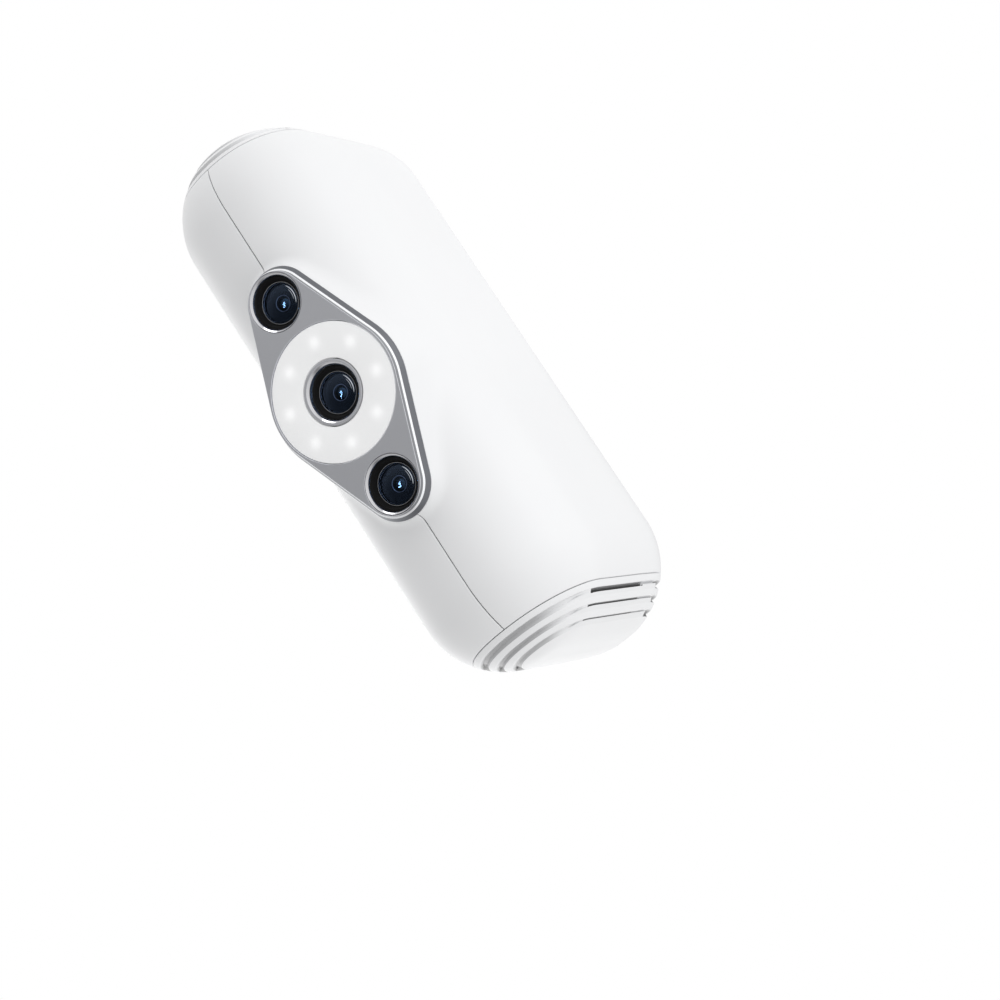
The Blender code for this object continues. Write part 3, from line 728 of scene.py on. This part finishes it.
def cap_profile():
    """(height, slot depth, flare depth, painted shade) rows from the joint to the end."""
    # flare_shade and the ledge's shades are painted shade, darkening the colour of the flare walls
    # and ledges
    low_edge, tiny, flare_shade = 0.1, 0.01, 0.42
    ledge = ((0.15, 0.1), (0.6, 0.25), (1.0, 0.5))
    joint = CAP_JOINT + JOINT_GAP
    rows = [(joint + step, float(fillet(step)), 0.0, 0.0) for step in EDGE_STEPS]
    start = joint + EDGE
    for low, high, flare in GROOVES:
        rows += [(height, 0.0, 0.0, 0.0) for height in end_heights(start, low - low_edge)]
        for step in (0.06, 0.03, 0.01, 0.0):
            rows.append((low - step, float(fillet(step, low_edge)), 0.0, 0.0))
        rows += [(low, GROOVE_DEPTH * share, 0.0, shade) for share, shade in ledge]
        rows.append((high, GROOVE_DEPTH, 0.0, ledge[-1][1]))
        for part in (0.0, 0.25, 0.5, 0.75, 0.93, 1.0):
            rows.append((high + tiny + (flare - high - tiny) * part, 0.0,
                         GROOVE_DEPTH * (1 - part), flare_shade if part < 1.0 else 0.0))
        start = flare + 2 * tiny
    rows += [(height, 0.0, 0.0, 0.0) for height in end_heights(start, HALF_LENGTH, 1.6)]
    return rows


def eased(part):
    """A smooth step from 0 to 1."""
    part = np.clip(part, 0, 1)
    return part * part * (3 - 2 * part)


def groove_shares(angles):
    """By angle, the groove's slot depth, its flare and its painted shade, as shares of the full
    ones.

    Each share eases in as "sideways" falls: it is 1 where the outline runs straight back, and
    less round the front and at the back corners. The flare is closed along the flat sides,
    where the slot is shallow up to the vents' back."""
    vents_back, back_face, least_slot = 12.5, 15, 0.12
    outline = section(CAP_JOINT, OUTER, angles)
    step = np.roll(outline, -1, axis=0) - np.roll(outline, 1, axis=0)
    sideways = np.abs(step[:, 1]) / np.hypot(step[:, 0], step[:, 1])
    x, y = outline[:, 0], outline[:, 1]
    flare = eased(np.where(y < 0, (0.99 - sideways) / 0.16, (0.9975 - sideways) / 0.01))
    slot = np.maximum(eased((0.995 - sideways) / 0.1), eased((y - vents_back) / 1.5))
    slot = np.maximum(slot, least_slot)
    # Painted shade: faded out on the -X side, where the light falls, kept and deepened on the +X
    # side, and darkest at the back corners
    lit_side = eased((0.9 - sideways) / 0.6)
    dim_side = eased((0.999 - sideways) / 0.04) * (1 + 1.5 * eased((sideways - 0.8) / 0.1))
    corner = eased((np.abs(x) / x.max() - 0.8) / 0.1)
    shade = np.where(y > back_face, flare * (0.8 + 2.2 * corner),
                     np.where(x < 0, lit_side, dim_side))
    return slot, flare, shade


def make_cap(name, end):
    """A domed end cap with three flared grooves all round and slots through its flat sides."""
    sharp, below = 30, -1
    # How strong the painted groove shade is: less on the bottom cap, and never under a tenth of a
    # row's shade
    strength, least_shade = (1.0 if end > 0 else 0.6), 0.1
    angles = even_angles(-math.pi, math.pi, 0.4 / FINE)[:-1]
    slot_share, flare_share, shade_share = groove_shares(angles)
    rings, shades = [], []
    # The inner skin's rings are painted fully dark, as shade seen through the vents
    for part in np.linspace(1.0, 0.0, 12):
        height = CAP_JOINT + JOINT_GAP + (INNER["length"] - CAP_JOINT - JOINT_GAP) * part
        rings.append(layer(section(height, INNER, angles), CENTRE_Z + end * height, "Z"))
        shades.append(np.ones(len(angles)))
    for height, slot, flare, shade in cap_profile():
        flat = section(height, OUTER, angles, slot * slot_share + flare * flare_share)
        rings.append(layer(flat, CENTRE_Z + end * height, "Z"))
        shades.append(strength * np.minimum(
            shade * (least_shade + (1 - least_shade) * shade_share), 1.0))
    cap = loft(name, rings, "cap", "shell", replaces=name, sharp=sharp)
    # The painted shade is kept as a point attribute that darkens the cap's colour
    shade = cap.data.attributes.new("painted_shade", "FLOAT", "POINT")
    shade.data.foreach_set("value", np.concatenate(shades))
    cap.data.attributes.new("inside", "FLOAT", "FACE")
    tools = []
    for side in (-1, 1):
        for number, ((low, high, _), (inner, front, back, rise)) in enumerate(zip(GROOVES, VENTS)):
            levels = sorted(CENTRE_Z + end * height for height in (low + VENT_LIFT, high + rise))
            reach = sorted((side * inner, side * VENT_REACH))
            vent = box(f"vent_{side}_{number}", (reach[0], front, levels[0]),
                       (reach[1], back, levels[1]), None, None)
            # The vent's cut faces carry painted shade as a face attribute
            dark = vent.data.attributes.new("inside", "FLOAT", "FACE")
            dark.data.foreach_set("value", np.full(len(vent.data.polygons), VENT_SHADE))
            tools.append(vent)
    if end < 0:
        for way, outline, depth in (("insert_way", circle(FLANGE_WAY, (0, INSERT_Y)), 1.5),
                                    ("insert_bore", circle(INSERT_WAY, (0, INSERT_Y)), 4),
                                    ("usb_way", round_box(2.0, 4.9, 1.95, (0, USB_Y)), 4)):
            tools.append(prism(way, outline, below, depth, "Z", None, None))
    cut(cap, tools, sharp)


# ---------------------------------------------------------------- front plate and ring light

def make_plate():
    """The lozenge plate: a satin face, a lip painted darker as a shadow, a polished step painted
    lighter as a highlight, and a flared wall painted dark as shade.
    """
    sharp, ring_gap, lens_hole = 18, 0.13, 5.0
    # Slots for the wall's painted shade, the step's painted highlight and the lip's painted shadow
    wall, step, lip = 1, 2, 3
    plate = loft("front_plate_fine", [inset_outline(*row) for row in PLATE_ROWS], "plate",
                 "plate", replaces="front_plate", sharp=sharp)
    for key in ("plate_wall", "chamfer", "plate_lip_shadow"):
        plate.data.materials.append(MATERIALS[key])
    tools = []
    for name, height in LENSES.items():
        radius = RING_OUT + ring_gap if name == "centre" else lens_hole
        tools.append(turned(f"{name}_hole", [(radius + 0.45, -0.4), (radius, 0.05), (radius, 4.0)],
                            height, None, None, points=160, tube=False))
    cut(plate, tools, sharp)
    for face in plate.data.polygons:
        x, y, z = face.center / MM
        rim = hull_distance(np.array([x]), np.array([z - CENTRE_Z]), PLATE_CIRCLE, TIP_CIRCLE)[0]
        if rim > 0.1:
            face.material_index = wall
        elif rim > -0.21 and y - PLATE_Y > 0.6 and -face.normal.y > 0.3:
            face.material_index = step
        elif rim > -0.31 and -face.normal.y < 0.5:
            face.material_index = lip


def make_ring():
    """The milky ring in front of the LEDs."""
    rounding, face = 0.12, 0.08
    edge = [(rounding * (1 - math.cos(a)), rounding * (1 - math.sin(a)))
            for a in np.linspace(0, math.pi / 2, 5)]
    profile = [(RING_OUT, RING_BACK)] + [(RING_OUT - a, face + b) for a, b in edge]
    profile += [(RING_IN + a, face + b) for a, b in edge[::-1]] + [(RING_IN, RING_BACK)]
    turned("ring_diffuser_fine", profile, LENSES["centre"], "diffuser", "diffuser",
           replaces="ring_diffuser", points=192)


def dome(reach, front, ball, steps):
    """Profile of a ball's cap, from its axis out to this radius; front is its nearest depth."""
    return [(radius, front + ball - math.sqrt(ball ** 2 - radius ** 2))
            for radius in np.linspace(0.02, reach, steps)]


def make_lens(name, height):
    """Bezel, stepped black barrel, domed front glass, iris and inner lens of one camera.

    Every profile is (radius, depth behind the plate's face)."""
    fine, coarse = 128, 96
    outer, lip, cone = (5.45, 4.92, 1.05) if name == "centre" else (4.95, 4.87, 0.85)
    bezel = [(outer, 2.4), (outer, 0.1), (outer - 0.03, 0.03), (outer - 0.09, 0.0),
             (lip + 0.04, 0.0), (lip, 0.03), (lip - 0.21, cone * 0.19), (lip - 0.37, cone * 0.4),
             (lip - 0.47, cone * 0.68), (LENS_BORE + 0.02, cone), (LENS_BORE, cone + 0.04),
             (LENS_BORE, 2.4)]
    mesh = turned(f"{name}_bezel_fine", bezel, height, "chrome", "chrome",
                  replaces=f"{name}_bezel", points=fine, sharp=25).data
    mesh.materials.append(MATERIALS["plate"])
    for face in mesh.polygons:
        if face.normal.y < -0.9:
            face.material_index = 1
    glass_seat = GLASS_RADIUS + 0.1
    barrel = [(BARREL_RADIUS, 12.0), (BARREL_RADIUS, 2.5), (LENS_BORE - 0.01, 2.45),
              (LENS_BORE - 0.01, cone + 0.1), (LENS_BORE - 0.06, cone + 0.06),
              (BARREL_RADIUS - 0.12, cone + 0.04)]
    ridges, first = 4, BARREL_RADIUS - 0.16
    fall = (1.9 - cone - 0.1) / ridges
    width = (first - glass_seat - 0.12) / ridges
    for ridge in range(ridges):
        radius, depth = first - ridge * width, cone + 0.08 + ridge * fall
        barrel += [(radius, depth), (radius - width * 0.15, depth + fall * 0.8),
                   (radius - width * 0.85, depth + fall)]
    barrel += [(glass_seat, 1.95), (glass_seat, 4.6), (2.2, 4.6), (2.2, 12.0)]
    turned(f"{name}_lens_barrel_fine", barrel, height, "barrel", "black_plastic",
           replaces=f"{name}_lens_barrel", points=fine, sharp=30)
    glass = dome(GLASS_RADIUS - 0.14, 1.2, 8.6, 16)
    glass += [(GLASS_RADIUS - 0.03, glass[-1][1] + 0.1), (GLASS_RADIUS, 2.0),
              (GLASS_RADIUS, 2.3), (0.02, 2.3)]
    turned(f"{name}_front_glass_fine", glass, height, "glass", "glass",
           replaces=f"{name}_front_glass", points=fine, tube=False, sharp=35)
    rim = [(GLASS_RADIUS + 0.09, 2.1), (GLASS_RADIUS + 0.09, 1.74), (GLASS_RADIUS + 0.06, 1.68),
           (GLASS_RADIUS + 0.02, 1.68), (GLASS_RADIUS + 0.01, 1.74), (GLASS_RADIUS + 0.01, 2.1)]
    # The glass rim's bright ring: polished metal, with a painted highlight in its lighter colour
    turned(f"{name}_glass_rim", rim, height, "chamfer", "chrome", points=fine)
    pupil = [(1.4, 2.6), (1.38, 2.52), (1.32, 2.5), (1.26, 2.54), (1.26, 2.6)]
    turned(f"{name}_pupil_ring", pupil, height, "plate_wall", "chrome", points=coarse)
    iris = [(GLASS_RADIUS, 2.5), (PUPIL_RADIUS + 0.14, 2.62), (PUPIL_RADIUS + 0.02, 2.65),
            (PUPIL_RADIUS, 2.75), (PUPIL_RADIUS, 3.1), (GLASS_RADIUS, 2.9)]
    turned(f"{name}_iris_fine", iris, height, "barrel", "black_plastic",
           replaces=f"{name}_iris", points=coarse)
    inner = dome(1.25, 2.75, 1.9, 12) + [(1.6, 3.9), (1.6, 4.3), (0.02, 4.3)]
    turned(f"{name}_inner_lens_fine", inner, height, "inner_glass", "glass",
           replaces=f"{name}_inner_lens", points=64, tube=False)


# ---------------------------------------------------------------- back and lower end

def make_button():
    """The dished push button in the back, with its flange behind the wall."""
    low, high = in_mm("power_button")
    rim, rounding, dish_depth, dish_share = 1.1, 0.45, 0.32, 0.88
    face, flange = high[1], low[1] + 0.9
    radius = (high[0] - low[0]) / 2 - rim
    profile = [(radius + rim, low[1]), (radius + rim, flange), (radius, flange)]
    for angle in np.linspace(0, math.pi / 2, 7):
        profile.append((radius - rounding * (1 - math.cos(angle)),
                        face - rounding * (1 - math.sin(angle))))
    for part in np.linspace(dish_share, 0.004, 14):
        dish = dish_depth * (1 - (part / dish_share) ** 2) ** 1.5
        profile.append((radius * part, face - dish))
    spun("power_button_fine", profile, (0, BUTTON_Z), "Y", "shell", "shell", body="button",
         replaces="power_button", points=128)


def make_light_pipe():
    """The status light's pipe, its outer end rounded."""
    low, high = in_mm("status_light_pipe")
    profile = [(1.2, low[1]), (1.2, high[1] - 0.2), (1.14, high[1] - 0.06), (1.0, high[1]),
               (0.02, high[1])]
    spun("status_light_pipe_fine", profile, (0, PIPE_Z), "Y", "light_pipe", "light_pipe",
         replaces="status_light_pipe", points=64)


def make_insert():
    """The tripod insert, its way threaded at 1.27 mm pitch."""
    low, high = in_mm("tripod_insert")
    flange, body, way, pitch, thread = 5.2, 4.2, 3.175, 1.27, 0.5
    profile = [(flange - 0.12, low[2]), (flange - 0.03, low[2] + 0.04), (flange, low[2] + 0.14),
               (flange, low[2] + 1.2), (body, low[2] + 1.2), (body, high[2])]
    turns = int((high[2] - low[2] - 1.0) / pitch)
    for turn in reversed(range(turns)):
        start = low[2] + 0.55 + turn * pitch
        profile += [(way, start + pitch * 0.95), (way - thread, start + pitch * 0.55),
                    (way - thread, start + pitch * 0.45), (way, start + pitch * 0.05)]
    profile += [(way, low[2] + 0.45), (way + 0.4, low[2])]
    spun("tripod_insert_fine", profile, (0, INSERT_Y), "Z", "brass", "brass", tube=True,
         replaces="tripod_insert")


def make_usb():
    """The socket: a drawn metal shell, its tongue, and the contacts on both sides of it."""
    low, high = in_mm("usb_c_port")
    contacts, spacing, half_contact = 12, 0.5, 0.13
    shell = prism("usb_c_port_fine", round_box(1.62, 4.5, 1.6, (0, USB_Y), 16), low[2], high[2],
                  "Z", "steel", "steel", replaces="usb_c_port")
    mouth = prism("usb_mouth", round_box(1.28, 4.17, 1.26, (0, USB_Y), 16), -1, high[2] - 1.4,
                  "Z", None, None)
    cut(shell, [mouth])
    box("usb_tongue", (-0.33, USB_Y - 3.35, low[2] + 0.7), (0.33, USB_Y + 3.35, high[2] - 1.45),
        "black_plastic", "black_plastic")
    for side in (-1, 1):
        near, far = sorted((side * 0.335, side * 0.39))
        for number in range(contacts):
            y = USB_Y + (number - (contacts - 1) / 2) * spacing
            box(f"usb_contact_{side}_{number}".replace("-", "m"),
                (near, y - half_contact, low[2] + 1.1), (far, y + half_contact, high[2] - 2.0),
                "gold", "brass")


# ---------------------------------------------------------------- CAD nodes left in view

def dress_cad():
    """Gives every CAD node that stays in view a material with its own grain."""
    slots = {entry["node"]: entry["material_slot"] for entry in frame["record"]["subparts"]}
    for name, obj in frame["nodes"].items():
        material = MATERIALS[slots[name]]
        if obj.material_slots:
            for holder in obj.material_slots:
                holder.link = "OBJECT"
                holder.material = material
        else:
            obj.data.materials.append(material)


# ---------------------------------------------------------------- camera, light and floor

# The camera as fitted to the photograph: its place, then its right, up and back directions
CAMERA_PLACE = (-0.155971, -0.364881, 0.178323)
CAMERA_AXES = ((-0.720118, 0.447106, 0.530591), (-0.585162, 0.019578, -0.810680),
               (-0.372848, -0.894267, 0.247531))
CAMERA_LENS, CAMERA_SENSOR = 87.75, 36.0


def make_camera():
    data = bpy.data.cameras.new("camera")
    data.lens = CAMERA_LENS
    data.sensor_width = CAMERA_SENSOR
    camera = bpy.data.objects.new("camera", data)
    turn = Matrix(CAMERA_AXES).transposed().to_4x4()
    camera.matrix_world = Matrix.Translation(CAMERA_PLACE) @ turn
    bpy.context.collection.objects.link(camera)
    bpy.context.scene.camera = camera


def area_light(name, place, target, size, energy, only=None):
    data = bpy.data.lights.new(name, "AREA")
    data.shape = "RECTANGLE"
    data.size, data.size_y = size
    data.energy = energy
    light = bpy.data.objects.new(name, data)
    light.location = place
    aim = Vector(target) - Vector(place)
    light.rotation_euler = aim.to_track_quat("-Z", "Y").to_euler()
    light.visible_camera = False
    bpy.context.collection.objects.link(light)
    if only:
        light.light_linking.receiver_collection = only


# The studio's light: an even surround, and lobes of (direction, sharpness, what each adds)
SURROUND, DARKEST = 1.0, 0.02
LOBES = (
    ((0.58, -0.81, -0.08), 3.2, -0.83),
    ((0.30, -0.25, 0.92), 18.0, -0.75),
    ((-0.97, 0.12, -0.25), 6.0, 0.08),
    ((-0.72, -0.68, -0.15), 3.0, 0.22),
    ((0.62, 0.75, -0.20), 4.0, 0.62),
    ((0.0, 1.0, -0.05), 14.0, -0.75),
)


def make_world():
    """White to the camera; lit by a white surround with dark and bright soft lobes."""
    world = bpy.data.worlds.new("studio")
    bpy.context.scene.world = world
    world.use_nodes = True
    tree = world.node_tree
    back = tree.nodes["Background"]
    place = node(tree, "ShaderNodeTexCoord").outputs["Generated"]
    level = SURROUND
    for direction, power, amount in LOBES:
        dot = node(tree, "ShaderNodeVectorMath", operation="DOT_PRODUCT")
        tree.links.new(place, dot.inputs[0])
        dot.inputs[1].default_value = Vector(direction).normalized()
        facing = math_node(tree, "MAXIMUM", dot.outputs["Value"], 0.0)
        lobe = math_node(tree, "MULTIPLY", math_node(tree, "POWER", facing, power), amount)
        level = math_node(tree, "ADD", level, lobe)
    level = math_node(tree, "MAXIMUM", level, DARKEST)
    seen = node(tree, "ShaderNodeLightPath").outputs["Is Camera Ray"]
    tree.links.new(mix_node(tree, "FLOAT", seen, level, 1.0), back.inputs["Strength"])
    back.inputs["Color"].default_value = (1.0, 1.0, 1.0, 1.0)


# The inner lenses' glints: (slope across, slope up, size in metres, power)
GLINTS = ((0.0, 0.0, (0.28, 0.28), 5.0), (0.15, 0.21, (0.34, 0.12), 4.5))
GLINT_REACH, BOUNCE_REACH = 0.6, 0.3


def make_lens_lights():
    """Small lights for the inner lenses and the bezels alone."""
    pupil, metal = (bpy.data.collections.new(name) for name in ("pupil", "metal"))
    for obj in bpy.context.scene.objects:
        if obj.name.endswith("inner_lens_fine"):
            pupil.objects.link(obj)
        if obj.name.endswith("bezel_fine"):
            metal.objects.link(obj)
    middle = Vector((0, (PLATE_Y + 2) * MM, CENTRE_Z * MM))
    view = (bpy.context.scene.camera.location - middle).normalized()

    def mirrored(normal):
        normal = Vector(normal).normalized()
        return 2 * normal.dot(view) * normal - view

    for number, (across, up, size, energy) in enumerate(GLINTS):
        normal = (across, -math.sqrt(1 - across ** 2 - up ** 2), up)
        area_light(f"glint_{number}", middle + GLINT_REACH * mirrored(normal), middle, size,
                   energy, pupil)
    below = Vector((-0.3, -0.1, -0.95))
    area_light("low_bounce", middle + BOUNCE_REACH * below, middle, (0.16, 0.16), 0.35, metal)


def make_softbox():
    """One soft light on all pieces, far out at the upper right of the photo's view."""
    area_light("side_softbox", (-1.2, 0.1, -0.2), (0, 0, 0.05), (0.5, 0.9), 0.5)


def make_stage():
    """A plain white floor well below, in metres, so that the scanner hangs clear of it."""
    white = (1.0, 1.0, 1.0, 1.0)
    half, near, far, level = 0.6, -0.12, 1.2, -0.3
    mesh = bpy.data.meshes.new("floor")
    mesh.from_pydata([(-half, near, level), (half, near, level), (half, far, level),
                      (-half, far, level)], [], [(0, 1, 2, 3)])
    floor = bpy.data.objects.new("floor", mesh)
    made, _, shader = new_material("floor")
    shader.inputs["Base Color"].default_value = (0.0, 0.0, 0.0, 1.0)
    shader.inputs["Specular IOR Level"].default_value = 0.0
    shader.inputs["Emission Color"].default_value = white
    shader.inputs["Emission Strength"].default_value = 1.0
    mesh.materials.append(made)
    bpy.context.collection.objects.link(floor)


def build():
    make_camera()
    make_world()
    make_stage()
    dress_cad()
    make_shell("left_shell", -1)
    make_shell("right_shell", 1)
    make_seam_seals()
    make_cap("top_cap", 1)
    make_cap("bottom_cap", -1)
    make_plate()
    make_ring()
    for name, height in LENSES.items():
        make_lens(name, height)
    make_button()
    make_light_pipe()
    make_insert()
    make_usb()
    make_lens_lights()
    make_softbox()
    bpy.context.scene.view_settings.view_transform = "Standard"


build()
